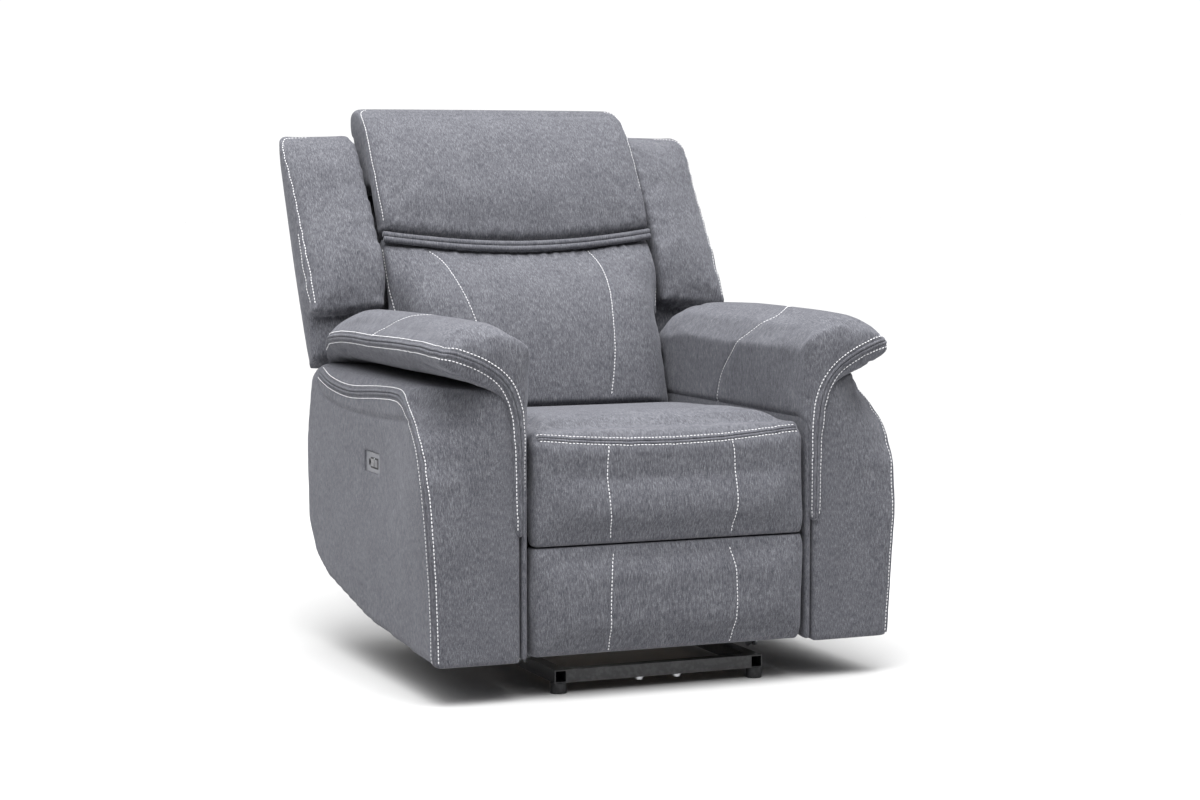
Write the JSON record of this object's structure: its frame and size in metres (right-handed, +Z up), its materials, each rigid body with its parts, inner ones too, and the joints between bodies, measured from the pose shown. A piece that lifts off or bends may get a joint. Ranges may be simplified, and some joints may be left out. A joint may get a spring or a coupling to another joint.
{
  "type": "recliner armchair",
  "caption": "Powered recliner armchair in grey woven fabric with pillow arms, wing back, head and lumbar cushions, stitched seat front, fold-out footrest and a low black floor frame.",
  "frame": {"origin": "on the floor under the centre of the overall box at rest", "axes": "+Z up, -Y to the front of the chair, +X to the right as seen from the front"},
  "size_m": [0.92, 1.04, 1.083],
  "materials": {
    "upholstery": "dark grey woven fabric with white top-stitching",
    "timber": "raw plywood and pine",
    "glide_plastic": "moulded black",
    "zinc_steel": "bright zinc plate",
    "button_plastic": "dark grey moulded",
    "satin_metal": "satin grey plated plastic",
    "black_plastic": "moulded black",
    "black_steel": "satin black paint"
  },
  "bodies": {
    "floor_frame": {"base_rail_left": "black_steel", "base_rail_right": "black_steel", "base_tube_front": "black_steel", "base_tube_rear": "black_steel", "base_bolt_left": "zinc_steel", "base_bolt_right": "zinc_steel", "glide_front_left": "glide_plastic", "glide_front_right": "glide_plastic", "glide_rear_left": "glide_plastic", "glide_rear_right": "glide_plastic"},
    "front_swing": {"swing_front_left": "zinc_steel", "swing_front_right": "zinc_steel"},
    "rear_swing": {"swing_rear_left": "zinc_steel", "swing_rear_right": "zinc_steel"},
    "chassis": {"mechanism_plate_left": "black_steel", "mechanism_plate_right": "black_steel", "chassis_tube": "black_steel", "seat_rail_front": "timber", "seat_deck": "timber", "seat_cushion": "upholstery", "drive_motor": "black_plastic", "drive_screw": "zinc_steel", "power_box": "black_plastic", "control_plate": "satin_metal", "usb_socket": "black_plastic", "arm_outer_panel_left": "upholstery", "arm_outer_panel_right": "upholstery", "arm_inner_panel_left": "upholstery", "arm_inner_panel_right": "upholstery", "arm_front_panel_left": "upholstery", "arm_front_panel_right": "upholstery", "arm_frame_left": "timber", "arm_frame_right": "timber", "arm_pad_left": "upholstery", "arm_pad_right": "upholstery"},
    "back": {"back_upright_left": "black_steel", "back_upright_right": "black_steel", "back_rail_bottom": "black_steel", "back_rail_top": "black_steel", "lumbar_cushion": "upholstery", "head_cushion": "upholstery", "back_panel": "upholstery", "wing_left": "upholstery", "wing_right": "upholstery"},
    "footrest_drive": {"drive_shaft": "black_steel", "lower_link_left": "zinc_steel", "lower_link_right": "zinc_steel"},
    "upper_links": {"upper_link_left": "zinc_steel", "upper_link_right": "zinc_steel"},
    "lower_guides": {"lower_guide_left": "zinc_steel", "lower_guide_right": "zinc_steel"},
    "upper_guides": {"upper_guide_left": "zinc_steel", "upper_guide_right": "zinc_steel"},
    "footrest": {"footrest_board": "timber", "footrest_pad": "upholstery", "footrest_bracket_left": "black_steel", "footrest_bracket_right": "black_steel"},
    "drive_yoke": {"drive_yoke": "black_plastic"},
    "button_a": {"button_a": "button_plastic"},
    "button_b": {"button_b": "button_plastic"}
  },
  "joints": [
    {"name": "back_recline", "type": "hinge", "parent": "chassis", "child": "back", "pos_m": [0, 0.22, 0.44], "axis": [-1, 0, 0], "range_deg": [0, 45]},
    {"name": "front_swing", "type": "hinge", "parent": "floor_frame", "child": "front_swing", "pos_m": [0, -0.291, 0.062], "axis": [1, 0, 0], "range_deg": [0, 50]},
    {"name": "chassis_level", "type": "hinge", "parent": "front_swing", "child": "chassis", "pos_m": [0, -0.24029, 0.17076], "axis": [1, 0, 0], "range_deg": [-50, 0]},
    {"name": "rear_swing", "type": "hinge", "parent": "floor_frame", "child": "rear_swing", "pos_m": [0, 0.099, 0.062], "axis": [1, 0, 0], "range_deg": [0, 50]},
    {"name": "footrest_extend", "type": "hinge", "parent": "chassis", "child": "footrest_drive", "pos_m": [0, -0.362, 0.235], "axis": [-1, 0, 0], "range_deg": [0, 76]},
    {"name": "upper_link_turn", "type": "hinge", "parent": "footrest_drive", "child": "upper_links", "pos_m": [0, -0.37872, 0.07588], "axis": [-1, 0, 0], "range_deg": [-118, 0]},
    {"name": "footrest_turn", "type": "hinge", "parent": "upper_links", "child": "footrest", "pos_m": [0, -0.39545, 0.235], "axis": [-1, 0, 0], "range_deg": [0, 122]},
    {"name": "lower_guide_turn", "type": "hinge", "parent": "chassis", "child": "lower_guides", "pos_m": [0, -0.3066, 0.2895], "axis": [-1, 0, 0], "range_deg": [0, 65.4]},
    {"name": "upper_guide_turn", "type": "hinge", "parent": "footrest_drive", "child": "upper_guides", "pos_m": [0, -0.35092, 0.05388], "axis": [-1, 0, 0], "range_deg": [-117.5, 0]},
    {"name": "yoke_slide", "type": "slide", "parent": "chassis", "child": "drive_yoke", "axis": [0, -1, 0], "range_m": [0, 0.0805]},
    {"name": "button_a_press", "type": "slide", "parent": "chassis", "child": "button_a", "axis": [1, 0, 0], "range_m": [0, 0.0012], "stiffness_N_per_m": 500},
    {"name": "button_b_press", "type": "slide", "parent": "chassis", "child": "button_b", "axis": [1, 0, 0], "range_m": [0, 0.0012], "stiffness_N_per_m": 500}
  ],
  "couplings": [
    {"joint": "front_swing", "follows": "back_recline", "ratio": 1.1111},
    {"joint": "chassis_level", "follows": "back_recline", "ratio": -1.1111},
    {"joint": "rear_swing", "follows": "back_recline", "ratio": 1.1111},
    {"joint": "upper_link_turn", "follows": "footrest_extend", "ratio": -1.5526},
    {"joint": "footrest_turn", "follows": "footrest_extend", "ratio": 1.6053},
    {"joint": "lower_guide_turn", "follows": "footrest_extend", "ratio": 0.854},
    {"joint": "upper_guide_turn", "follows": "footrest_extend", "ratio": -1.5419},
    {"joint": "yoke_slide", "follows": "footrest_extend", "m_per_rad": 0.060338}
  ]
}
